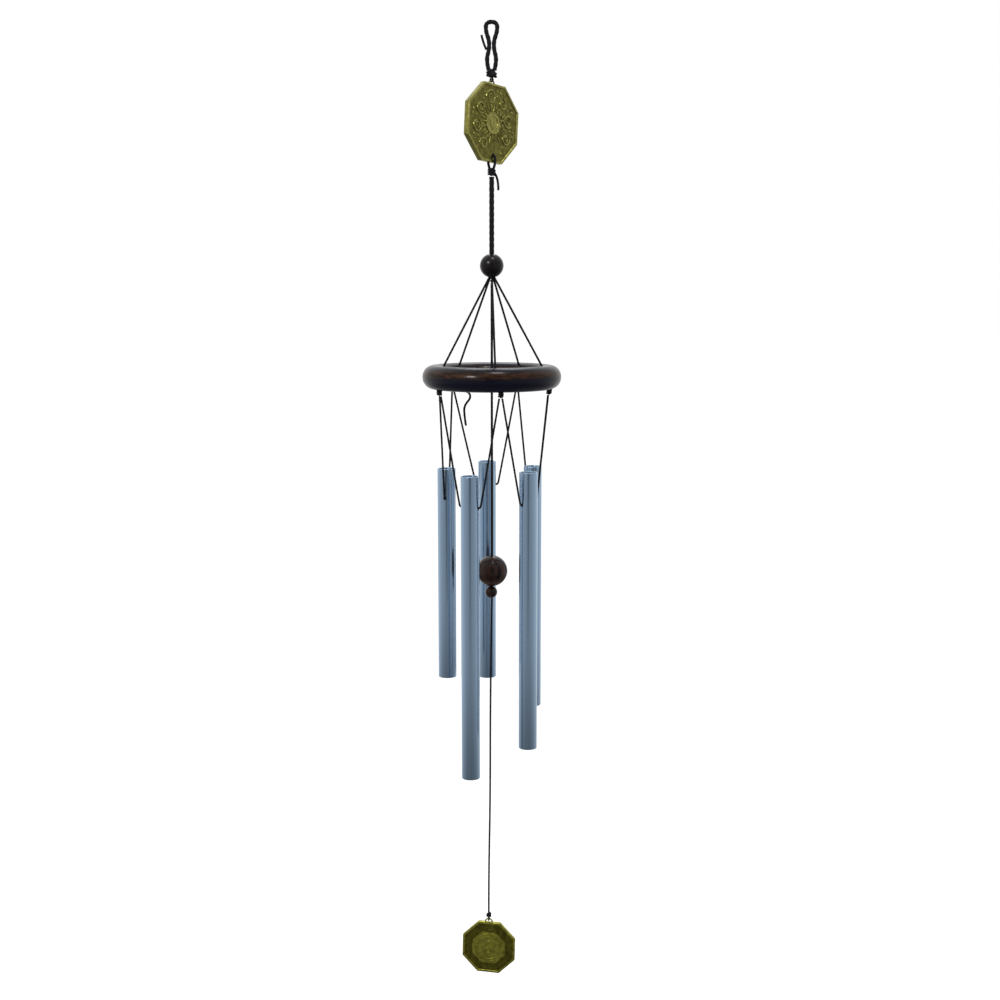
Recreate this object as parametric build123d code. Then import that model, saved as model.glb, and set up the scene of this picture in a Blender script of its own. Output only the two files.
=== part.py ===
"""Five-tube wind chime with two octagonal brass medallions, a lacquered wooden ring and a wooden clapper.

Millimetres. The origin is the inner top of the hanging loop, where the hook goes, and +Z is up, so everything hangs at
negative Z. The front of the chime faces -Y. Angles round the hanging axis are counted from the front towards +X.
"""
from build123d import *
import os
from math import cos, pi, radians, sin, tan

# Cords: diameters
LOOP_CORD_D = 2.6
STEM_STRAND_D = 1.6
STEM_CORD_D = 3.0
SUSPENSION_CORD_D = 1.3
TUBE_CORD_D = 1.2
CLAPPER_LINE_D = 1.5
SAIL_LINE_D = 1.2
TAIL_D = 1.4

# Hanging loop and its knot
LOOP_EYE_HALF = 3.6
LOOP_PAIR_HALF = 1.45
LOOP_FOOT_Z = -27.9
LOOP_KNOT_R = 3.5
LOOP_KNOT_TOP_Z = -28.1
LOOP_KNOT_HEIGHT = 4.6

# Cast arches on the medallions' top edges, and the small cord loops through them
ARCH_R = 2.4
ARCH_WIRE_R = 0.5
ARCH_LOOP_R = 1.15
ARCH_LOOP_CORD_R = 0.5

# Upper medallion
UPPER_FLATS = 48.4
UPPER_THICKNESS = 3.6
UPPER_RIM = 1.5
UPPER_FIELD_DEPTH = 0.5
UPPER_Z = -60.4
UPPER_TURN = 50.0
UPPER_LEAN = -4.0
UPPER_ARCH_Z = UPPER_Z + UPPER_FLATS / 2 + ARCH_R
UPPER_HOLE_R = 1.2
UPPER_HOLE_Z = -79.9

# Lower medallion, the sail
LOWER_FLATS = 36.4
LOWER_THICKNESS = 2.6
LOWER_RIM = 1.4
LOWER_FIELD_DEPTH = 0.4
LOWER_Z = -612.6
LOWER_TURN = -10.0
LOWER_LEAN = -1.5
LOWER_ARCH_Z = LOWER_Z + LOWER_FLATS / 2 + ARCH_R
SAIL_X = -2.4

# Stem between the upper medallion and the top bead
STEM_KNOT_R = 2.7
STEM_KNOT_Z = -90.4
STEM_STRAND_OFFSET = 2.9
GAP = 0.3

# Top bead
BEAD_R = 7.6
BEAD_Z = -149.1
BEAD_BORE_R = STEM_CORD_D / 2 + 0.05
BEAD_MOUTH_R = 2.8
BEAD_MOUTH_DEPTH = 1.6
STEM_INTO_BEAD = 9.0

# Wooden ring: centreline radius, and the section's width, height and corner radius
RING_R = 37.0
RING_WIDTH = 16.0
RING_HEIGHT = 15.3
RING_ROUND_R = 7.4
RING_Z = -220.2
RING_HOLE_R = 0.95
RING_EDGE_BEND = 5.0
CORD_TOP_R = 33.7
CORD_TOP_TURN = 4.0
CORD_FOOT_R = 37.5
CORD_FOOT_TURN = 9.0
RING_KNOT_R = 2.0
RING_KNOT_Z = -229.2

# Tubes, from the longest to the shortest, each one step further round the ring towards +X from the front
TUBE_R = 6.0
TUBE_WALL = 1.0
TUBE_HOLE_R = 1.1
TUBE_LENGTHS = (199.6, 183.2, 163.5, 149.5, 140.8)
TUBE_TOPS = (-281.7, -280.1, -280.2, -278.9, -280.6)
TUBE_HOLE_DEPTHS = (20.5, 20.9, 14.7, 16.3, 19.2)
TUBE_SHIFTS = (0.0, 3.0, 0.0, -1.3, 0.0)
STRAND_START = 1.2
STRAND_SIDE = 7.5

# Clapper, its line and its stop
LINE_KNOT_R = 1.0
LINE_KNOT_Z = -158.9
CLAPPER_R = 10.25
CLAPPER_Z = -348.3
CLAPPER_BORE_R = CLAPPER_LINE_D / 2 + 0.1
STOP_R = 4.0
STOP_Z = -362.65
STOP_X = -0.5
SAIL_KNOT_R = 1.8
SAIL_KNOT_Z = -589.4

# Routes of the cords that hang free, as points from their fixed end on
LOOP_SHOULDERS = ((-3.4, -21.8), (-LOOP_PAIR_HALF, -15.2), (-LOOP_PAIR_HALF - 0.05, -9.8), (-LOOP_EYE_HALF, -4.4))
LOOP_TAIL_ROUTE = ((-3.25, 0, -15.4), (-5.2, 0, -11.6), (-6.3, 0, -6.6))
STEM_TAIL_ROUTE = ((1.9, 1.4, -90.9), (4.4, 2.4, -94.6), (4.2, 2.2, -101.6))
LACING_TAIL_START = (2.0, -1.2, -0.9)
LACING_TAIL_ROUTE = ((-16.5, 24.0, -230.6), (-13.6, 21.0, -235.0), (-18.6, 19.5, -240.5), (-18.4, 19.5, -247.0),
                     (-17.4, 19.5, -253.8))
SAIL_LINE_ROUTE = ((0, 0, STOP_Z), (-1.2, 0, -430), (-1.3, 0, -505), (SAIL_X, 0, -560),
                   (SAIL_X, 0, SAIL_KNOT_Z + SAIL_KNOT_R + GAP))
STEM_CORNER_DROP = 6.4
STEM_FOOT_HALF = 1.1
STRAND_BEND = 3.4

COUNT = 5
STEP = 360 / COUNT


def around(radius, angle, z):
    """The point at this radius and angle from the front."""
    return Vector(radius * sin(radians(angle)), -radius * cos(radians(angle)), z)


def bend_radii(points):
    """Each corner's arc, as large as the shorter of its two runs allows."""
    radii = []
    for before, corner, after in zip(points, points[1:], points[2:]):
        into = corner - before
        out = after - corner
        turn = radians(into.get_angle(out))
        radii.append(0.45 * min(into.length, out.length) / tan(turn / 2))
    return radii


def cord_through(name, points, diameter, radii=None):
    """A round cord along straight runs that tangent arcs join."""
    points = [Vector(p) for p in points]
    radii = radii or bend_radii(points)
    print(name, "radii", [round(r, 1) for r in radii])
    path = FilletPolyline(*points, radius=radii)
    cord = sweep(Plane(origin=path @ 0, z_dir=path % 0) * Circle(diameter / 2), path=path).solid()
    section = pi * diameter**2 / 4
    print(name, "length", round(path.length, 1), "volume over section", round(cord.volume / section, 1))
    return cord


def along(start, end, radius):
    """A straight round bar between two points."""
    run = end - start
    return Plane(origin=start, z_dir=run) * Cylinder(radius, run.length, align=(Align.CENTER, Align.CENTER, Align.MIN))


def turned(turn, centre):
    """A frame at centre whose local X runs along a medallion's face and local Z out of it."""
    return Pos(*centre) * Rot(0, 0, turn) * Rot(90, 0, 0)


def medallion(flats, thickness, rim, field_depth, turn, lean, centre):
    """An octagonal casting with a raised rim round a sunk field on both faces, and an arch on its top edge."""
    side_r = flats / 2 / cos(pi / 8)
    outline = Rot(0, 0, 22.5) * RegularPolygon(side_r, 8)
    field_r = (flats / 2 - rim) / cos(pi / 8)
    field = Rot(0, 0, 22.5) * RegularPolygon(field_r, 8)
    plate = extrude(outline, thickness / 2, both=True)
    for face in (-1, 1):
        sunk = extrude(Pos(0, 0, face * (thickness / 2 - field_depth)) * field, face * field_depth)
        plate -= sunk
    arch = Pos(0, flats / 2, 0) * Torus(ARCH_R, ARCH_WIRE_R)
    return turned(turn, centre) * (Rot(0, 0, lean) * plate + arch)


def hanging_loop():
    """A doubled cord: the eye over the hook, the two strands side by side, a second eye, and both ends to the knot."""
    foot = (-0.5 - LOOP_CORD_D / 2, LOOP_FOOT_Z)
    crown = (-LOOP_EYE_HALF + 0.1, LOOP_CORD_D / 2)
    half = [foot, *LOOP_SHOULDERS, crown]
    left = [(x, 0, z) for x, z in half]
    right = [(-x, 0, z) for x, z in reversed(half)]
    return cord_through("hanging_loop", left + right, LOOP_CORD_D)


def loop_tail():
    """The short loose end beside the loop, leaving the left strand."""
    return cord_through("loop_tail", LOOP_TAIL_ROUTE, TAIL_D)


def arch_loop(turn, centre):
    """The small loop of cord round the top of a medallion's arch."""
    return Pos(*centre) * Rot(0, 0, turn) * Rot(0, 90, 0) * Torus(ARCH_LOOP_R, ARCH_LOOP_CORD_R)


def stem_loop():
    """One strand through the medallion's lower hole and down both faces to the stem knot."""
    foot_z = STEM_KNOT_Z + 1.2
    out = STEM_STRAND_OFFSET
    corner_z = UPPER_HOLE_Z - STEM_CORNER_DROP
    half = [(foot_z, STEM_FOOT_HALF), (corner_z, out), (UPPER_HOLE_Z, out)]
    route = [(-side, z) for z, side in half] + [(side, z) for z, side in reversed(half)]
    route = [Vector(side * sin(radians(UPPER_TURN)), -side * cos(radians(UPPER_TURN)), z) for side, z in route]
    return cord_through("stem_loop", route, STEM_STRAND_D)


def suspension_foot(j):
    """The ring's lower lacing point number j, from the left one on round the front."""
    return around(CORD_FOOT_R, CORD_FOOT_TURN - STEP + j * STEP, RING_KNOT_Z)


def suspension_cord(j):
    """From the bead's mouth to the ring and through its slanting hole to the knot below."""
    turn = CORD_TOP_TURN - STEP + j * STEP
    start = around(1.4, turn, BEAD_Z - BEAD_R + 0.7)
    top = around(CORD_TOP_R, turn, RING_Z + RING_HEIGHT / 2 - 1.2)
    route = [start, top, suspension_foot(j)]
    return cord_through(f"suspension_cord_{j + 1}", route, SUSPENSION_CORD_D, [RING_EDGE_BEND])


def wooden_ring():
    """A hoop of nearly round section with a slanting hole for each suspension cord."""
    section = Pos(RING_R, 0, 0) * Rot(90, 0, 0) * RectangleRounded(RING_WIDTH, RING_HEIGHT, RING_ROUND_R)
    ring = Pos(0, 0, RING_Z) * revolve(section, Axis.Z)
    for j in range(COUNT):
        turn = CORD_TOP_TURN - STEP + j * STEP
        top = around(CORD_TOP_R, turn, RING_Z + RING_HEIGHT / 2 - 1.2)
        foot = suspension_foot(j)
        slant = (top - foot).normalized()
        ring -= along(foot - slant * 2, top + slant * 6, RING_HOLE_R)
    return ring


def tube_places():
    """For each tube: its axis point at the ring, its tangent, and the height of its two cord holes."""
    places = []
    for i in range(COUNT):
        left, right = suspension_foot(i), suspension_foot((i + 1) % COUNT)
        tangent = (right - left).normalized()
        middle = (left + right) * 0.5 + tangent * TUBE_SHIFTS[i]
        places.append((left, right, middle, tangent, TUBE_TOPS[i] - TUBE_HOLE_DEPTHS[i]))
    return places


def tube(i, place):
    """An open tube with a pair of holes for its cord."""
    left, right, middle, tangent, hole_z = place
    length = TUBE_LENGTHS[i]
    centre = Vector(middle.X, middle.Y, TUBE_TOPS[i] - length / 2)
    wall = Cylinder(TUBE_R, length) - Cylinder(TUBE_R - TUBE_WALL, length)
    hole = Vector(middle.X, middle.Y, hole_z)
    reach = tangent * (TUBE_R + 2)
    return Pos(*centre) * wall - along(hole - reach, hole + reach, TUBE_HOLE_R)


def tube_cord(i, place):
    """Down from one lacing point, through the tube's two holes and up to the next point."""
    left, right, middle, tangent, hole_z = place
    hole = Vector(middle.X, middle.Y, hole_z)
    out = tangent * STRAND_SIDE
    drop = Vector(0, 0, -RING_KNOT_R - 0.45)
    start = left + tangent * STRAND_START + drop
    end = right - tangent * STRAND_START + drop
    left_run = (start - (hole - out)).normalized()
    right_run = (end - (hole + out)).normalized()
    left_corner = [hole - out + left_run * STRAND_BEND, hole - out * 0.96]
    right_corner = [hole + out * 0.96, hole + out + right_run * STRAND_BEND]
    route = [start, *left_corner, *right_corner, end]
    return cord_through(f"tube_cord_{i + 1}", route, TUBE_CORD_D)


def bored_ball(radius, centre, bore_r):
    """A turned wooden ball, bored on the hanging axis even where its centre lies beside it."""
    return Pos(*centre) * Sphere(radius) - Pos(0, 0, centre[2]) * Cylinder(bore_r, 3 * radius)


def build():
    parts = {}
    parts["hanging_loop"] = hanging_loop()
    parts["loop_tail"] = loop_tail() - parts["hanging_loop"]

    knot = Pos(0, 0, LOOP_KNOT_TOP_Z - LOOP_KNOT_HEIGHT / 2) * Cylinder(LOOP_KNOT_R, LOOP_KNOT_HEIGHT)
    knot = fillet(knot.edges(), LOOP_KNOT_HEIGHT / 2 - 0.4)
    parts["loop_knot"] = knot
    parts["link_loop"] = arch_loop(UPPER_TURN, (0, 0, UPPER_ARCH_Z)) - knot

    plate = medallion(UPPER_FLATS, UPPER_THICKNESS, UPPER_RIM, UPPER_FIELD_DEPTH, UPPER_TURN, UPPER_LEAN,
                      (0, 0, UPPER_Z))
    bore = Cylinder(UPPER_HOLE_R, 3 * UPPER_THICKNESS)
    parts["upper_medallion"] = plate - turned(UPPER_TURN, (0, 0, UPPER_HOLE_Z)) * bore

    parts["stem_loop"] = stem_loop()
    parts["stem_knot"] = Pos(0, 0, STEM_KNOT_Z) * Sphere(STEM_KNOT_R) - parts["stem_loop"]
    tail = cord_through("stem_tail", STEM_TAIL_ROUTE, TAIL_D)
    parts["stem_tail"] = tail - parts["stem_knot"]
    stem_top = Vector(0, 0, STEM_KNOT_Z - STEM_KNOT_R - GAP)
    parts["stem_cord"] = along(stem_top, Vector(0, 0, BEAD_Z + BEAD_R - STEM_INTO_BEAD), STEM_CORD_D / 2)

    bead = bored_ball(BEAD_R, (0, 0, BEAD_Z), BEAD_BORE_R)
    mouth = Cylinder(BEAD_MOUTH_R, 2 * BEAD_MOUTH_DEPTH)
    parts["top_bead"] = bead - Pos(0, 0, BEAD_Z - BEAD_R) * mouth

    cords = [suspension_cord(j) for j in range(COUNT)]
    for j, cord in enumerate(cords):
        parts[f"suspension_cord_{j + 1}"] = cord
    parts["wooden_ring"] = wooden_ring()
    knots = []
    for j in range(COUNT):
        ball = Pos(*suspension_foot(j)) * Sphere(RING_KNOT_R)
        knots.append((ball - parts["wooden_ring"] - cords[j]).solids().sort_by(Axis.Z)[0])
    parts["ring_knots"] = Compound(children=knots)
    tail_start = suspension_foot(COUNT - 1) + Vector(*LACING_TAIL_START)
    tail = cord_through("lacing_tail", [tail_start, *LACING_TAIL_ROUTE], TAIL_D)
    parts["lacing_tail"] = tail - parts["wooden_ring"] - parts["ring_knots"]

    for i, place in enumerate(tube_places()):
        parts[f"tube_{i + 1}"] = tube(i, place)
        parts[f"tube_cord_{i + 1}"] = tube_cord(i, place)

    parts["line_knot"] = Pos(0, 0, LINE_KNOT_Z) * Sphere(LINE_KNOT_R)
    line_top = Vector(0, 0, LINE_KNOT_Z - LINE_KNOT_R - GAP)
    parts["clapper_line"] = along(line_top, Vector(0, 0, STOP_Z), CLAPPER_LINE_D / 2)
    parts["clapper_ball"] = bored_ball(CLAPPER_R, (0, 0, CLAPPER_Z), CLAPPER_BORE_R)
    parts["sail_line"] = cord_through("sail_line", SAIL_LINE_ROUTE, SAIL_LINE_D)
    parts["stop_bead"] = bored_ball(STOP_R, (STOP_X, 0, STOP_Z), CLAPPER_LINE_D / 2)

    knot = Pos(SAIL_X, 0, SAIL_KNOT_Z) * Sphere(SAIL_KNOT_R)
    parts["sail_knot"] = knot
    parts["sail_loop"] = arch_loop(LOWER_TURN, (SAIL_X, 0, LOWER_ARCH_Z)) - knot
    centre = (SAIL_X, 0, LOWER_Z)
    parts["lower_medallion"] = medallion(LOWER_FLATS, LOWER_THICKNESS, LOWER_RIM, LOWER_FIELD_DEPTH, LOWER_TURN,
                                         LOWER_LEAN, centre)
    return parts


os.makedirs("parts", exist_ok=True)
for name, shape in build().items():
    solids = shape.solids()
    export_step(solids[0] if len(solids) == 1 else Compound(children=solids), f"parts/{name}.step")
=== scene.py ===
"""A five-tube wind chime: laid black cords, satin tubes, a lacquered ring, turned wooden balls
and two cast medallions.

The chime hangs from the inner top of its loop, at the origin, and its front faces -Y. Shapes are
drawn in millimetres and brought to metres when each piece is finished.
"""
from math import cos, pi, radians, sin

import bmesh
import bpy
from mathutils import Matrix, Vector


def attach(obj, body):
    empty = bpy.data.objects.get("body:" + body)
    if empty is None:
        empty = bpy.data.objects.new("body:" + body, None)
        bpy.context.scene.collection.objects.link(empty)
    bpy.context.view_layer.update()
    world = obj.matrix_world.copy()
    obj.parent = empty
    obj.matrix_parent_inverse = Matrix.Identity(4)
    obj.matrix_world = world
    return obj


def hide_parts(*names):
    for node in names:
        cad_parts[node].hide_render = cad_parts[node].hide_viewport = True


MM = 0.001
COUNT = 5  # tubes, and the suspension cords and ring knots that carry them
STEP = 360 / COUNT

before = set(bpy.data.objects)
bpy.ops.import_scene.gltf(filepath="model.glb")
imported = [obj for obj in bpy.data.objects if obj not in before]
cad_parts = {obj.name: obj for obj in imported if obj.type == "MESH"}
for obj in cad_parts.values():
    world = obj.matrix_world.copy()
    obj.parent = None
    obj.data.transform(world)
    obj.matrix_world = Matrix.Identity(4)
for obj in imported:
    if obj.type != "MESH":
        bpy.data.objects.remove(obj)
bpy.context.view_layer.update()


# ---- finishes ----

RING_BOTTOM, RING_TOP = -0.2279, -0.2125
MIX_FACTOR, MIX_BELOW, MIX_ABOVE, MIX_RESULT = 0, 6, 7, 2  # a Mix node's sockets when it mixes colours


def shader_of(mat):
    return mat.node_tree.nodes["Principled BSDF"]


def finish_of(name, colour, roughness, metallic=0.0, **sockets):
    """A finish whose plain values sit on the shader itself."""
    mat = bpy.data.materials.new(name)
    mat.use_nodes = True
    shader = shader_of(mat)
    shader.inputs["Base Color"].default_value = (*colour, 1)
    shader.inputs["Roughness"].default_value = roughness
    shader.inputs["Metallic"].default_value = metallic
    for socket, value in sockets.items():
        shader.inputs[socket.replace("_", " ")].default_value = value
    return mat


def noise(mat, scale, stretch=(1, 1, 1), detail=3.0):
    """Noise in the piece's own place, drawn out along an axis by stretch."""
    tree = mat.node_tree
    place = tree.nodes.new("ShaderNodeTexCoord")
    mapping = tree.nodes.new("ShaderNodeMapping")
    mapping.inputs["Scale"].default_value = stretch
    tex = tree.nodes.new("ShaderNodeTexNoise")
    tex.inputs["Scale"].default_value = scale
    tex.inputs["Detail"].default_value = detail
    tree.links.new(place.outputs["Object"], mapping.inputs["Vector"])
    tree.links.new(mapping.outputs["Vector"], tex.inputs["Vector"])
    return tex.outputs["Fac"]


def ramp(mat, source, stops):
    """Colours along a value."""
    node = mat.node_tree.nodes.new("ShaderNodeValToRGB")
    elements = node.color_ramp.elements
    while len(elements) < len(stops):
        elements.new(0.5)
    for element, (at, colour) in zip(elements, stops):
        element.position = at
        element.color = (*colour, 1)
    mat.node_tree.links.new(source, node.inputs["Fac"])
    return node.outputs["Color"]


def colour_by(mat, source):
    mat.node_tree.links.new(source, shader_of(mat).inputs["Base Color"])


def roughness_by(mat, source, low, high):
    node = mat.node_tree.nodes.new("ShaderNodeMapRange")
    node.inputs["To Min"].default_value = low
    node.inputs["To Max"].default_value = high
    mat.node_tree.links.new(source, node.inputs["Value"])
    mat.node_tree.links.new(node.outputs["Result"], shader_of(mat).inputs["Roughness"])


def bump_by(mat, source, strength, depth):
    """Small relief; the depth is in metres."""
    node = mat.node_tree.nodes.new("ShaderNodeBump")
    node.inputs["Strength"].default_value = strength
    node.inputs["Distance"].default_value = depth
    mat.node_tree.links.new(source, node.inputs["Height"])
    mat.node_tree.links.new(node.outputs["Normal"], shader_of(mat).inputs["Normal"])


def cord_finish():
    mat = finish_of("black_cord", (0.004, 0.004, 0.006), 0.8, Specular_IOR_Level=0.18)
    shades = [(0.3, (0.002, 0.002, 0.004)), (0.75, (0.009, 0.009, 0.012))]
    colour_by(mat, ramp(mat, noise(mat, scale=900), shades))
    bump_by(mat, noise(mat, scale=6000, stretch=(1, 1, 0.5)), strength=0.4, depth=0.00008)
    return mat


def brass_finish(name, dark, light, roughness):
    mat = finish_of(name, light, roughness, metallic=1.0)
    colour_by(mat, ramp(mat, noise(mat, scale=420, detail=5), [(0.32, dark), (0.68, light)]))
    roughness_by(mat, noise(mat, scale=900), low=roughness - 0.08, high=roughness + 0.14)
    bump_by(mat, noise(mat, scale=2600, detail=4), strength=0.35, depth=0.00006)
    return mat


def wood_finish(name, dark, light, coat):
    mat = finish_of(name, light, 0.3, Specular_IOR_Level=0.14, Coat_Weight=coat, Coat_Roughness=0.08)
    grain = noise(mat, scale=120, stretch=(3.0, 3.0, 0.9), detail=6)
    colour_by(mat, ramp(mat, grain, [(0.34, dark), (0.66, light)]))
    bump_by(mat, noise(mat, scale=900, stretch=(2.0, 2.0, 0.3)), strength=0.15, depth=0.00005)
    return mat


def tube_finish():
    """Metal with fine lines along it, as drawing leaves them."""
    mat = finish_of("tube_aluminium", (0.32, 0.44, 0.585), 0.24, metallic=1.0)
    drawn = noise(mat, scale=1.0, stretch=(1600, 1600, 14), detail=4)
    colour_by(mat, ramp(mat, drawn, [(0.3, (0.3, 0.42, 0.56)), (0.7, (0.335, 0.46, 0.61))]))
    roughness_by(mat, drawn, low=0.18, high=0.3)
    bump_by(mat, drawn, strength=0.12, depth=0.00003)
    return mat


def ring_finish():
    """Dark lacquer above and below, thinning to a brown band round the middle: partly the bare timber,
    partly a painted reflection of a warm room.
    """
    mat = finish_of("ring_lacquer", (0.01, 0.01, 0.02), 0.28, Specular_IOR_Level=0.1,
                    Coat_Weight=0.12, Coat_Roughness=0.06)
    tree = mat.node_tree
    place = tree.nodes.new("ShaderNodeTexCoord")
    split = tree.nodes.new("ShaderNodeSeparateXYZ")
    tree.links.new(place.outputs["Object"], split.inputs["Vector"])
    height = tree.nodes.new("ShaderNodeMapRange")
    height.inputs["From Min"].default_value = RING_BOTTOM
    height.inputs["From Max"].default_value = RING_TOP
    tree.links.new(split.outputs["Z"], height.inputs["Value"])
    # The brown band round the middle: partly bare timber, partly a painted reflection of a warm room
    bare, covered = (1, 1, 1), (0, 0, 0)
    band = ramp(mat, height.outputs["Result"],
                [(0.5, covered), (0.64, bare), (0.78, bare), (0.9, covered)])
    # The band's brown grain, which also stands in for the painted reflection of a warm room
    grain_and_painted_reflection = ramp(mat, noise(mat, scale=160, stretch=(1, 1, 3.0), detail=5),
                [(0.35, (0.005, 0.0015, 0.0006)), (0.7, (0.042, 0.017, 0.006))])
    mix = tree.nodes.new("ShaderNodeMix")
    mix.data_type = "RGBA"
    mix.inputs[MIX_BELOW].default_value = (0.0015, 0.002, 0.0075, 1)
    tree.links.new(band, mix.inputs[MIX_FACTOR])
    tree.links.new(grain_and_painted_reflection, mix.inputs[MIX_ABOVE])
    colour_by(mat, mix.outputs[MIX_RESULT])
    return mat


BLACK_CORD = cord_finish()
BRASS = brass_finish("antique_brass", (0.19, 0.18, 0.046), (0.36, 0.335, 0.095), roughness=0.3)
BRASS_FIELD = brass_finish("antique_brass_field", (0.095, 0.088, 0.018), (0.2, 0.185, 0.042),
                           roughness=0.44)
SAIL_BRASS = brass_finish("dark_brass", (0.2, 0.192, 0.03), (0.39, 0.372, 0.062), roughness=0.32)
SAIL_FIELD = brass_finish("dark_brass_field", (0.065, 0.061, 0.008), (0.14, 0.13, 0.02),
                          roughness=0.46)
BLACK_LACQUER = wood_finish("black_lacquer", (0.0015, 0.001, 0.0015), (0.006, 0.003, 0.003),
                            coat=0.16)
BROWN_LACQUER = wood_finish("brown_lacquer", (0.004, 0.0012, 0.0006), (0.034, 0.0095, 0.003),
                            coat=0.3)
RING_LACQUER = ring_finish()
TUBE_ALUMINIUM = tube_finish()


# ---- making and finishing a piece ----

def turned_by(degrees, axis="Z"):
    return Matrix.Rotation(radians(degrees), 4, axis)


def around(radius, angle, z):
    """The point at this radius and angle from the front."""
    return Vector((radius * sin(radians(angle)), -radius * cos(radians(angle)), z))


def in_metres(bm):
    """Turns a drawn shape's faces outwards and brings it to metres."""
    bmesh.ops.recalc_face_normals(bm, faces=bm.faces)
    bmesh.ops.scale(bm, vec=(MM, MM, MM), verts=bm.verts)


def as_object(name, bm):
    """A drawn shape as an object of the scene."""
    mesh = bpy.data.meshes.new(name)
    bm.to_mesh(mesh)
    bm.free()
    obj = bpy.data.objects.new(name, mesh)
    bpy.context.collection.objects.link(obj)
    return obj


def piece(name, bm, body, nodes, materials, crease=35):
    """Closes a drawn shape and hangs it on its body in place of the plain solids."""
    bmesh.ops.remove_doubles(bm, verts=bm.verts, dist=1e-4)
    in_metres(bm)
    obj = as_object(name, bm)
    for mat in materials:
        obj.data.materials.append(mat)
    obj.data.shade_smooth()
    obj.data.set_sharp_from_angle(angle=radians(crease))
    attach(obj, body)
    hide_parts(*nodes)
    return obj


def bake(obj, crease=35):
    """Applies what is live on a piece."""
    bpy.context.view_layer.update()
    graph = bpy.context.evaluated_depsgraph_get()
    mesh = bpy.data.meshes.new_from_object(obj.evaluated_get(graph), depsgraph=graph)
    obj.modifiers.clear()
    obj.data = mesh
    mesh.set_sharp_from_angle(angle=radians(crease))


def bore(obj, *holes):
    """Drills round holes in a piece, each given by its two ends and its radius."""
    bm = bmesh.new()
    for start, end, radius in holes:
        run = end - start
        place = Matrix.Translation((start + end) / 2) @ run.to_track_quat("Z", "Y").to_matrix().to_4x4()
        bmesh.ops.create_cone(bm, cap_ends=True, segments=24, radius1=radius, radius2=radius,
                              depth=run.length, matrix=place)
    in_metres(bm)
    tool = as_object("tool", bm)
    live = obj.modifiers.new("cut", "BOOLEAN")
    live.operation = "DIFFERENCE"
    live.solver = "EXACT"
    live.object = tool
    bake(obj)
    bpy.data.objects.remove(tool)


def add(bm, part, place=Matrix()):
    """Puts a drawn part into a larger drawing."""
    part.transform(place)
    mesh = bpy.data.meshes.new("part")
    part.to_mesh(mesh)
    part.free()
    bm.from_mesh(mesh)
    bpy.data.meshes.remove(mesh)


def coil(radius, wire, angle, drift=(0, 0, 0), steps=24, sides=8):
    """A round wire wound about Z, moving by drift over its length."""
    bm = bmesh.new()
    bmesh.ops.create_circle(bm, segments=sides, radius=wire,
                            matrix=Matrix.Translation((radius, 0, 0)) @ turned_by(90, "X"))
    closed = abs(angle - 2 * pi) < 1e-6 and not any(drift)
    bmesh.ops.spin(bm, geom=bm.verts[:] + bm.edges[:], cent=(0, 0, 0), axis=(0, 0, 1), angle=angle,
                   steps=steps, dvec=Vector(drift) / steps, use_merge=closed)
    if not closed:
        bmesh.ops.holes_fill(bm, edges=[e for e in bm.edges if e.is_boundary])
    return bm


def eased_profile(corners, ease, segments):
    """A closed outline in X and Z with its corners rounded, ready to be turned about Z."""
    bm = bmesh.new()
    verts = [bm.verts.new((x, 0, z)) for x, z in corners]
    bm.faces.new(verts)
    bmesh.ops.bevel(bm, geom=verts, affect="VERTICES", offset=ease, segments=segments, profile=0.5,
                    material=-1)
    bmesh.ops.delete(bm, geom=bm.faces[:], context="FACES_ONLY")
    return bm


def revolve(bm, steps):
    """Turns an outline once round Z."""
    bmesh.ops.spin(bm, geom=bm.verts[:] + bm.edges[:], cent=(0, 0, 0), axis=(0, 0, 1), angle=2 * pi,
                   steps=steps, use_merge=True)


# ---- cords and knots ----

# How far the four points of each strand stand out, as shares of the cord's radius
THICK_STRANDS = (1.1, 1.05, 0.88, 1.05)
THIN_STRANDS = (1.1, 1.08, 1.0, 1.08)
THICK_FROM = 2          # a cord wider than this has the deeper grooves
TWIST = 5.2             # one full twist, in diameters
TWIST_STEPS = 10
LEAST_STEPS = 12


def cord_line(name, route):
    """The smooth line that a cord follows, as an object and as points."""
    curve = bpy.data.curves.new(name, "CURVE")
    curve.dimensions = "3D"
    curve.resolution_u = 24
    spline = curve.splines.new("NURBS")
    spline.points.add(len(route) - 1)
    for point, place in zip(spline.points, route):
        point.co = (*(Vector(place) * MM), 1)
    spline.order_u = 3
    spline.use_endpoint_u = True
    obj = bpy.data.objects.new(name, curve)
    bpy.context.collection.objects.link(obj)
    mesh = bpy.data.meshes.new_from_object(obj)
    line = [v.co.copy() for v in mesh.vertices]
    bpy.data.meshes.remove(mesh)
    return obj, line


def laid_cord(node, body, route, diameter, strands=3):
    """A laid cord: a lobed section twisted along a straight run, then bent to its route."""
    guide, line = cord_line("line." + node, route)
    run = sum((b - a).length for a, b in zip(line, line[1:])) / MM
    twist = TWIST * diameter
    steps = max(LEAST_STEPS, round(run / twist * TWIST_STEPS))
    bm = bmesh.new()
    section = bmesh.ops.create_circle(bm, segments=4 * strands, radius=diameter / 2)
    strand = THICK_STRANDS if diameter > THICK_FROM else THIN_STRANDS
    for i, vert in enumerate(section["verts"]):
        vert.co *= strand[i % 4]
    bmesh.ops.rotate(bm, verts=bm.verts, matrix=Matrix.Rotation(pi / 2, 3, "Y"))
    bmesh.ops.spin(bm, geom=bm.verts[:] + bm.edges[:], cent=(0, 0, 0), axis=(1, 0, 0),
                   angle=2 * pi * run / twist, steps=steps, dvec=(run / steps, 0, 0))
    bmesh.ops.holes_fill(bm, edges=[e for e in bm.edges if e.is_boundary])
    obj = piece("cord." + node, bm, body, [node], [BLACK_CORD], crease=80)
    live = obj.modifiers.new("bend", "CURVE")
    live.object = guide
    live.deform_axis = "POS_X"
    bake(obj, crease=80)
    bpy.data.objects.remove(guide)


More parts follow.
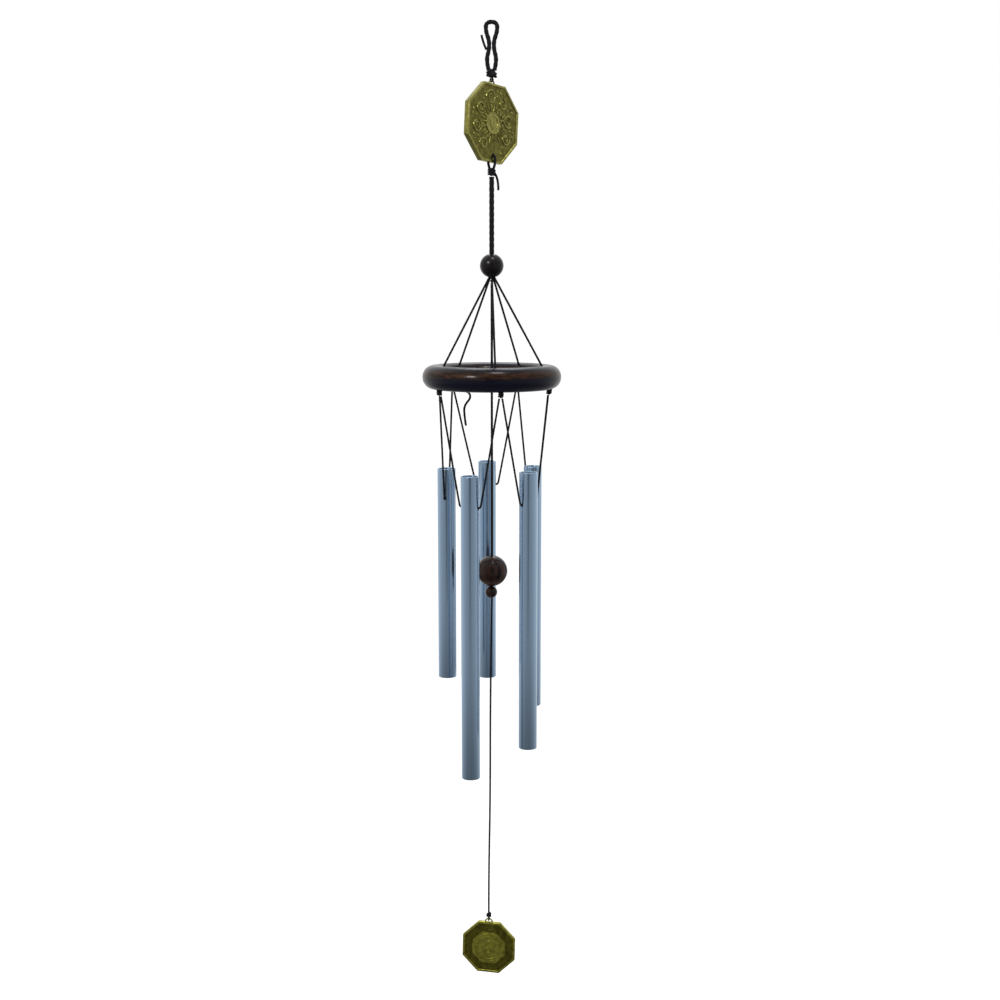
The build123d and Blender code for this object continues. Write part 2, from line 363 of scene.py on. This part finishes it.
def knot(node, body, centres, radius, height, wrap):
    """Turns of cord drawn tight over a core, with half a turn over the top.

    Where one node holds several knots, each is turned a little further than the last.
    """
    bm = bmesh.new()
    rise = height - wrap
    turns = max(1.5, rise / wrap)
    for k, centre in enumerate(centres):
        place = Matrix.Translation(centre) @ turned_by(40 * k)
        core = bmesh.new()
        bmesh.ops.create_uvsphere(core, u_segments=16, v_segments=10, radius=1)
        bmesh.ops.scale(core, vec=(0.8 * radius, 0.8 * radius, 0.48 * height), verts=core.verts)
        add(bm, core, place)
        wound = coil(radius - wrap / 2, wrap / 2, 2 * pi * turns, (0, 0, rise),
                     steps=round(18 * turns))
        add(bm, wound, place @ turned_by(9, "X") @ Matrix.Translation((0, 0, -rise / 2)))
        over = coil(0.72 * radius, wrap / 2, pi, steps=12)
        add(bm, over, place @ turned_by(35) @ turned_by(90, "X"))
    return piece("knot." + node, bm, body, [node], [BLACK_CORD], crease=80)


# The hanging loop, its loose end and its knot
LOOP_HALF = ((-1.8, -27.9), (-3.4, -21.8), (-1.45, -15.2), (-1.5, -9.8), (-3.6, -4.4), (-3.5, 1.3))
LOOP_TAIL_ROUTE = ((-3.25, 0, -15.4), (-5.2, 0, -11.6), (-6.3, 0, -6.6))
TAIL_DIAMETER = 1.4

loop_route = [(x, 0, z) for x, z in LOOP_HALF] + [(-x, 0, z) for x, z in reversed(LOOP_HALF)]
laid_cord("hanging_loop", "hanger", loop_route, 2.6, strands=4)
laid_cord("loop_tail", "hanger", LOOP_TAIL_ROUTE, TAIL_DIAMETER)
knot("loop_knot", "link", [Vector((0, 0, -30.4))], radius=3.5, height=4.6, wrap=1.7)

# The stem: a strand through the upper medallion's hole, its knot and loose end, and the cord down
# to the bead
UPPER_TURN = 50
UPPER_HOLE_LEVEL = -79.9
STEM_LOOP_HALF = ((-89.2, 1.1), (-86.3, 2.9), (UPPER_HOLE_LEVEL, 2.9))  # level, and distance out
STEM_TAIL_ROUTE = ((1.9, 1.4, -90.9), (4.4, 2.4, -94.6), (4.2, 2.2, -101.6))
STEM_ROUTE = ((0, 0, -93.4), (0, 0, -121.9), (0, 0, -150.5))

facing = around(1, UPPER_TURN, 0)
stem_route = [facing * -out + Vector((0, 0, z)) for z, out in STEM_LOOP_HALF]
stem_route += [facing * out + Vector((0, 0, z)) for z, out in reversed(STEM_LOOP_HALF)]
laid_cord("stem_loop", "stem_link", stem_route, 1.6)
knot("stem_knot", "stem_link", [Vector((0, 0, -90.4))], radius=2.7, height=5.4, wrap=1.4)
laid_cord("stem_tail", "stem_link", STEM_TAIL_ROUTE, TAIL_DIAMETER)
laid_cord("stem_cord", "stem", STEM_ROUTE, 3.0, strands=4)

# The five suspension cords, from the bead through the ring's slanting holes to the knots below it
BEAD_EXIT_RADIUS, BEAD_EXIT_LEVEL = 1.4, -156.0
HOLE_RADIUS, HOLE_TURN, HOLE_LEVEL = 33.7, 4, -213.75   # where a cord enters the ring
FOOT_RADIUS, FOOT_TURN, FOOT_LEVEL = 37.5, 9, -229.2    # its knot
CORNER_REACH = 7.8      # from a corner of the route to the points that ease it
LACING_TAIL_START = Vector((2.0, -1.2, -0.9))           # from the last knot
LACING_TAIL_ROUTE = [(-16.5, 24.0, -230.6), (-13.6, 21.0, -235.0), (-18.6, 19.5, -240.5),
                     (-18.4, 19.5, -247.0), (-17.4, 19.5, -253.8)]

feet = [around(FOOT_RADIUS, FOOT_TURN - STEP + j * STEP, FOOT_LEVEL) for j in range(COUNT)]
tops = [around(HOLE_RADIUS, HOLE_TURN - STEP + j * STEP, HOLE_LEVEL) for j in range(COUNT)]
for j, (foot, top) in enumerate(zip(feet, tops)):
    start = around(BEAD_EXIT_RADIUS, HOLE_TURN - STEP + j * STEP, BEAD_EXIT_LEVEL)
    above = top + (start - top).normalized() * CORNER_REACH
    below = top + (foot - top).normalized() * CORNER_REACH
    laid_cord(f"suspension_cord_{j + 1}", "canopy", [start, above, top, below, foot], 1.3)
knot("ring_knots", "canopy", feet, radius=1.9, height=4.5, wrap=1.2)
laid_cord("lacing_tail", "canopy", [feet[-1] + LACING_TAIL_START] + LACING_TAIL_ROUTE,
          TAIL_DIAMETER)


# ---- tubes and their cords ----

TUBE_LENGTHS = (199.6, 183.2, 163.5, 149.5, 140.8)
TUBE_TOPS = (-281.7, -280.1, -280.2, -278.9, -280.6)
TUBE_HOLE_DEPTHS = (20.5, 20.9, 14.7, 16.3, 19.2)       # below each tube's top
TUBE_SHIFTS = (0.0, 3.0, 0.0, -1.3, 0.0)                # along the line between its two knots
TUBE_OUTER, TUBE_INNER = 6, 5
HOLE_BAND = 4           # the wall is parted this far above and below the holes
CORD_OUT = 7.5          # how far a tube's cord stands out at its holes
CORD_BEND = 3.4
CORD_TOP_INSET, CORD_TOP_DROP = 1.2, 2.45               # from the middle of a ring knot


def hollow_tube(i, centre, tangent, hole):
    """A drawn tube with eased lips and a pair of holes for its cord."""
    top, bottom = TUBE_TOPS[i], TUBE_TOPS[i] - TUBE_LENGTHS[i]
    corners = ((TUBE_OUTER, top), (TUBE_INNER, top), (TUBE_INNER, bottom), (TUBE_OUTER, bottom))
    bm = eased_profile(corners, ease=0.22, segments=3)
    for z in (hole.z + HOLE_BAND, hole.z - HOLE_BAND, (hole.z + bottom) / 2):
        bmesh.ops.bisect_plane(bm, geom=bm.verts[:] + bm.edges[:], plane_co=(0, 0, z),
                               plane_no=(0, 0, 1))
    revolve(bm, steps=72)
    bmesh.ops.translate(bm, vec=(centre.x, centre.y, 0), verts=bm.verts)
    node = f"tube_{i + 1}"
    obj = piece(f"pipe_{i + 1}", bm, node, [node], [TUBE_ALUMINIUM])
    bore(obj, (hole - tangent * 8, hole + tangent * 8, 1.1))


for i in range(COUNT):
    left, right = feet[i], feet[(i + 1) % COUNT]
    tangent = (right - left).normalized()
    centre = (left + right) / 2 + tangent * TUBE_SHIFTS[i]
    hole = Vector((centre.x, centre.y, TUBE_TOPS[i] - TUBE_HOLE_DEPTHS[i]))
    hollow_tube(i, centre, tangent, hole)
    out = tangent * CORD_OUT
    drop = Vector((0, 0, -CORD_TOP_DROP))
    start = left + tangent * CORD_TOP_INSET + drop
    end = right - tangent * CORD_TOP_INSET + drop
    left_bend = hole - out + (start - (hole - out)).normalized() * CORD_BEND
    right_bend = hole + out + (end - (hole + out)).normalized() * CORD_BEND
    route = [start, left_bend, hole - out * 0.96, hole, hole + out * 0.96, right_bend, end]
    laid_cord(f"tube_cord_{i + 1}", f"cord_{i + 1}", route, 1.2)


# ---- ring and turned balls ----

RING_MIDDLE, RING_LEVEL = 37, -220.2        # the middle of the ring's section
RING_HALF_WIDTH, RING_HALF_HEIGHT = 8.0, 7.65
STOP_LEVEL = -362.65                        # the stop bead, where the clapper's line ends


def turned_ball(name, body, mat, radius, centre, bore_radius):
    """A ball turned and bored through on the hanging axis."""
    bm = bmesh.new()
    bmesh.ops.create_uvsphere(bm, u_segments=56, v_segments=36, radius=radius,
                              matrix=Matrix.Translation(centre))
    obj = piece("ball." + name, bm, body, [name], [mat])
    reach = 2 * radius
    bore(obj, (Vector((0, 0, centre[2] - reach)), Vector((0, 0, centre[2] + reach)), bore_radius))
    return obj


bead = turned_ball("top_bead", "canopy", BLACK_LACQUER, radius=7.6,
                   centre=(0, 0, -149.1), bore_radius=1.55)
bore(bead, (Vector((0, 0, -160)), Vector((0, 0, -155.1)), 2.8))    # its mouth, for the five cords
turned_ball("clapper_ball", "clapper", BROWN_LACQUER, radius=10.25,
            centre=(0, 0, -348.3), bore_radius=0.85)
turned_ball("stop_bead", "clapper_line", BROWN_LACQUER, radius=4.0,
            centre=(-0.5, 0, STOP_LEVEL), bore_radius=0.75)

ring_corners = [(RING_MIDDLE + RING_HALF_WIDTH * x, RING_LEVEL + RING_HALF_HEIGHT * z)
                for x, z in ((1, 1), (-1, 1), (-1, -1), (1, -1))]
bm = eased_profile(ring_corners, ease=7.4, segments=12)
revolve(bm, steps=144)
ring = piece("hoop", bm, "canopy", ["wooden_ring"], [RING_LACQUER])
slants = [(top - foot).normalized() for foot, top in zip(feet, tops)]
bore(ring, *[(foot - slant * 2, top + slant * 6, 0.95) for foot, top, slant in zip(feet, tops, slants)])

# Clapper line, sail line and their knots
CLAPPER_LINE_ROUTE = ((0, 0, -160.2), (0, 0, -261), (0, 0, STOP_LEVEL))
SAIL_LINE_ROUTE = ((0, 0, STOP_LEVEL), (-1.2, 0, -430), (-1.3, 0, -505), (-2.4, 0, -560),
                   (-2.4, 0, -587.3))

knot("line_knot", "line_top", [Vector((0, 0, -158.9))], radius=1.0, height=2.0, wrap=0.7)
laid_cord("clapper_line", "clapper_line", CLAPPER_LINE_ROUTE, 1.5)
laid_cord("sail_line", "clapper_line", SAIL_LINE_ROUTE, 1.2)
knot("sail_knot", "sail_link", [Vector((-2.4, 0, -589.4))], radius=1.8, height=3.6, wrap=1.1)
for name in ("link_loop", "sail_loop"):
    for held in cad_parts[name].material_slots:
        held.material = BLACK_CORD


# ---- medallions ----

UPPER_CENTRE, UPPER_LEAN, UPPER_FIELD_LEVEL = (0, 0, -60.4), -4.0, 1.3
SAIL_CENTRE, SAIL_LEAN, SAIL_FIELD_LEVEL = (-2.4, 0, -612.6), -1.5, 0.9
SAIL_TURN = -10
EDGE_EASE = 0.3
ARCH_RADIUS, ARCH_WIRE = 2.4, 0.5
SUNK = 0.1              # relief starts this far inside what it stands on
BARE_SECTOR = 6
BARE_CENTRE, BARE_RADIUS = Vector((0, -19.5, 0)), 6.5   # the patch round the stem loop's hole


def octagon(bm, flats, low, high):
    """A raised eight-sided step from one height to another."""
    made = bmesh.ops.create_circle(bm, cap_ends=True, segments=8, radius=flats / 2 / cos(pi / 8),
                                   matrix=Matrix.Translation((0, 0, low)) @ turned_by(22.5))
    base = made["verts"][0].link_faces[0]
    raised = bmesh.ops.extrude_face_region(bm, geom=[base])
    verts = [g for g in raised["geom"] if isinstance(g, bmesh.types.BMVert)]
    face = [g for g in raised["geom"] if isinstance(g, bmesh.types.BMFace)][0]
    bmesh.ops.translate(bm, vec=(0, 0, high - low), verts=verts)
    return face


def cast_plate(flats, thickness, rim, depth, lean):
    """An octagonal casting: a raised rim round a sunk field on both faces, and its hanging arch."""
    bm = bmesh.new()
    face = octagon(bm, flats, 0, thickness / 2)
    middle = [f for f in bm.faces if abs(f.calc_center_median().z) < 1e-6]
    bmesh.ops.delete(bm, geom=middle, context="FACES_ONLY")
    bm.normal_update()
    edges = list(face.edges)
    bmesh.ops.inset_region(bm, faces=[face], thickness=rim, depth=0)
    bmesh.ops.inset_region(bm, faces=[face], thickness=EDGE_EASE, depth=-depth)
    face.material_index = 1
    bmesh.ops.bevel(bm, geom=edges, affect="EDGES", offset=EDGE_EASE, segments=2, profile=0.5,
                    material=-1)
    bmesh.ops.mirror(bm, geom=bm.verts[:] + bm.edges[:] + bm.faces[:], axis="Z", merge_dist=1e-4)
    bm.transform(turned_by(lean))
    arch = coil(ARCH_RADIUS, ARCH_WIRE, 2 * pi, steps=40, sides=12)
    add(bm, arch, Matrix.Translation((0, flats / 2, 0)))
    return bm


def both_faces(relief, level, lean):
    """The same relief on the front and the back."""
    bm = bmesh.new()
    for side in (0, 180):
        part = bmesh.new()
        relief(part, level)
        add(bm, part, turned_by(lean) @ turned_by(side, "Y"))
    return bm


def stand(turn, centre):
    """From a plate drawn flat to its place on the hanging axis."""
    return Matrix.Translation(centre) @ turned_by(turn) @ turned_by(90, "X")


def disc(bm, radius, low, high):
    made = bmesh.new()
    bmesh.ops.create_cone(made, cap_ends=True, segments=48, radius1=radius + 0.15, radius2=radius,
                          depth=high - low)
    add(bm, made, Matrix.Translation((0, 0, (low + high) / 2)))


def dome(bm, radius, height, place, level):
    made = bmesh.new()
    bmesh.ops.create_uvsphere(made, u_segments=14, v_segments=8, radius=1)
    bmesh.ops.scale(made, vec=(radius, radius, height), verts=made.verts)
    add(bm, made, Matrix.Translation((*place, level)))


def bar(bm, length, width, height, place):
    made = bmesh.new()
    bmesh.ops.create_cube(made, size=1)
    bmesh.ops.scale(made, vec=(length, width, 2 * height), verts=made.verts)
    bmesh.ops.bevel(made, geom=made.edges[:], affect="EDGES", offset=0.12, segments=1, profile=0.5,
                    material=-1)
    for face in made.faces:
        face.material_index = 1
    add(bm, made, place)


def sail_relief(bm, level):
    """Eight groups of three bars, an inner octagon, and a disc parted by a double curve."""
    disc_radius, half_radius = 8.2, 4.1
    step = level + 0.34
    face = step + 0.14
    octagon(bm, 22.6, level - SUNK, step)
    add(bm, coil(9.8, 0.42, 2 * pi, steps=64), Matrix.Translation((0, 0, step)))
    disc(bm, disc_radius, step - SUNK, face)
    add(bm, coil(disc_radius, 0.4, 2 * pi, steps=64), Matrix.Translation((0, 0, face)))
    for way in (1, -1):
        place = Matrix.Translation((0, half_radius * way, face)) @ turned_by(-90 * way)
        add(bm, coil(half_radius, 0.42, pi, steps=28), place)
        dome(bm, 1.1, 0.34, (0, half_radius * way), face)
    whole_bar = ((0, 5.7),)
    broken_bar = ((-1.65, 2.4), (1.65, 2.4))
    for side in range(8):
        for row in range(3):
            out = 12.6 + 1.45 * row
            for along, length in broken_bar if (side >> row) & 1 else whole_bar:
                place = turned_by(45 * side) @ Matrix.Translation((along, out, level))
                bar(bm, length, 0.8, 0.17, place)


def upper_relief(bm, level):
    """Scrolls, leaves and beads round a plain disc, with a bare patch where the stem's loop swings."""
    disc(bm, 6.2, level - SUNK, level + 0.24)
    add(bm, coil(6.6, 0.42, 2 * pi, steps=56), Matrix.Translation((0, 0, level + 0.1)))
    for turn, radius in ((20, 4.4), (140, 3.0), (250, 3.9)):
        arc = coil(radius, 0.34, radians(150), steps=18)
        add(bm, arc, Matrix.Translation((0, 0, level + 0.26)) @ turned_by(turn))
    for k in range(8):
        turn = turned_by(45 * k + 12)
        if k != BARE_SECTOR:
            size = (3.1, 2.5, 3.4, 2.7)[k % 4]
            at = turn @ Matrix.Translation((14.6 + 0.8 * (k % 3), 0, level)) @ turned_by(70 * k)
            add(bm, coil(size, 0.62, radians(300), (0.9, 0.5, 0), steps=26), at)
            inner = coil(size * 0.48, 0.5, radians(250), (0.5, 0, 0), steps=18)
            add(bm, inner, at @ turned_by(160))
        for fan in range(4):
            leaf = bmesh.new()
            bmesh.ops.create_cone(leaf, cap_ends=True, segments=8, radius1=0.72, radius2=0.12,
                                  depth=5.2 - 0.6 * fan)
            spread = turned_by(13 * fan + 6) @ Matrix.Translation((9.6 + 1.7 * (fan % 2), 0, level))
            add(bm, leaf, turn @ spread @ turned_by(90, "Y"))
        for out, along, size in ((19.4, 5.2, 0.85), (18.6, 8.0, 0.65), (15.4, 6.6, 0.7)):
            spot = turn @ Vector((out, along, 0))
            if (spot - BARE_CENTRE).length > BARE_RADIUS:
                dome(bm, size, 0.5, (spot.x, spot.y), level)


bm = cast_plate(flats=48.4, thickness=3.6, rim=1.5, depth=0.5, lean=UPPER_LEAN)
bm.transform(stand(UPPER_TURN, UPPER_CENTRE))
plate = piece("plate.upper", bm, "upper_plate", ["upper_medallion"],
              [BRASS, BRASS_FIELD])
hole = Vector((0, 0, UPPER_HOLE_LEVEL))
bore(plate, (facing * -9 + hole, facing * 9 + hole, 1.2))
bm = both_faces(upper_relief, UPPER_FIELD_LEVEL, UPPER_LEAN)
bm.transform(stand(UPPER_TURN, UPPER_CENTRE))
piece("relief.upper", bm, "upper_plate", ["upper_medallion"], [BRASS])

bm = cast_plate(flats=36.4, thickness=2.6, rim=1.4, depth=0.4, lean=SAIL_LEAN)
bm.transform(stand(SAIL_TURN, SAIL_CENTRE))
piece("plate.sail", bm, "sail", ["lower_medallion"], [SAIL_BRASS, SAIL_FIELD])
bm = both_faces(sail_relief, SAIL_FIELD_LEVEL, SAIL_LEAN)
bm.transform(stand(SAIL_TURN, SAIL_CENTRE))
piece("relief.sail", bm, "sail", ["lower_medallion"], [SAIL_BRASS, SAIL_FIELD])


# ---- studio ----

WHITE = (1, 1, 1, 1)
LAMPS = (("key", (-0.9, -1.2, 0.7), 0.35, 12), ("back_top", (0.0, 0.95, 0.75), 0.5, 3.5),
         ("front_top", (0.15, -0.35, 1.1), 0.3, 5))
LAMPS_AIM = Vector((0, 0, -0.3))


def stage_sheet(name, colour, size, place, turn=(0, 0, 0)):
    bm = bmesh.new()
    bmesh.ops.create_grid(bm, x_segments=1, y_segments=1, size=0.5)
    bmesh.ops.scale(bm, vec=(*size, 1), verts=bm.verts)
    obj = as_object(name, bm)
    obj.data.materials.append(finish_of(name + "_finish", colour, 0.9))
    obj.location = place
    obj.rotation_euler = [radians(a) for a in turn]
    return obj


# The floor glows a little, so that its far edge doesn't show; the card gives the tubes their streak
floor = stage_sheet("floor", (0.97, 0.97, 0.97), (60, 60), (0, 0, -1.1))
floor.visible_glossy = False
glow = shader_of(floor.data.materials[0])
glow.inputs["Emission Color"].default_value = WHITE
glow.inputs["Emission Strength"].default_value = 0.2
card = stage_sheet("dark_card", (0.09, 0.1, 0.11), (0.85, 2.4), (-0.06, -2.3, 0.35), (90, 0, 0))
card.visible_camera = False
card.visible_shadow = False
card.visible_diffuse = False

# Plain white to the camera, and to every other ray a room that is brighter behind and overhead
world = bpy.data.worlds.new("studio")
world.use_nodes = True
tree = world.node_tree
place = tree.nodes.new("ShaderNodeTexCoord")
direction = tree.nodes.new("ShaderNodeSeparateXYZ")
tree.links.new(place.outputs["Generated"], direction.inputs["Vector"])


def room_ramp(axis, stops):
    """How bright the studio is along one direction."""
    spread = tree.nodes.new("ShaderNodeMapRange")
    spread.inputs["From Min"].default_value = -1
    tree.links.new(direction.outputs[axis], spread.inputs["Value"])
    greys = [(at, (level, level, level)) for at, level in stops]
    return ramp(world, spread.outputs["Result"], greys)


product = tree.nodes.new("ShaderNodeMixRGB")
product.blend_type = "MULTIPLY"
product.inputs["Fac"].default_value = 1
across = room_ramp("Y", [(0, 0.42), (0.2, 0.5), (0.5, 0.68), (1, 1.0)])
upward = room_ramp("Z", [(0.22, 0.28), (0.36, 0.8), (0.7, 0.8), (0.86, 1.0)])
tree.links.new(across, product.inputs["Color1"])
tree.links.new(upward, product.inputs["Color2"])
room = tree.nodes["Background"]
room.inputs["Strength"].default_value = 1.35
tree.links.new(product.outputs["Color"], room.inputs["Color"])
backdrop = tree.nodes.new("ShaderNodeBackground")
backdrop.inputs["Color"].default_value = WHITE
rays = tree.nodes.new("ShaderNodeLightPath")
seen = tree.nodes.new("ShaderNodeMixShader")
tree.links.new(rays.outputs["Is Camera Ray"], seen.inputs["Fac"])
tree.links.new(room.outputs["Background"], seen.inputs[1])
tree.links.new(backdrop.outputs["Background"], seen.inputs[2])
tree.links.new(seen.outputs["Shader"], tree.nodes["World Output"].inputs["Surface"])
bpy.context.scene.world = world
bpy.context.scene.view_settings.view_transform = "Standard"

for name, place, size, power in LAMPS:
    lamp = bpy.data.lights.new(name, "AREA")
    lamp.size = size
    lamp.energy = power
    obj = bpy.data.objects.new(name, lamp)
    obj.location = place
    obj.rotation_euler = (LAMPS_AIM - Vector(place)).to_track_quat("-Z", "Y").to_euler()
    bpy.context.collection.objects.link(obj)

lens = bpy.data.cameras.new("camera")
lens.lens = 50.4
lens.sensor_width = 36
camera = bpy.data.objects.new("camera", lens)
camera.location = (0.0053, -0.910, -0.165)
camera.rotation_euler = (radians(81.5), 0, 0)
bpy.context.collection.objects.link(camera)
bpy.context.scene.camera = camera

bpy.context.view_layer.update()
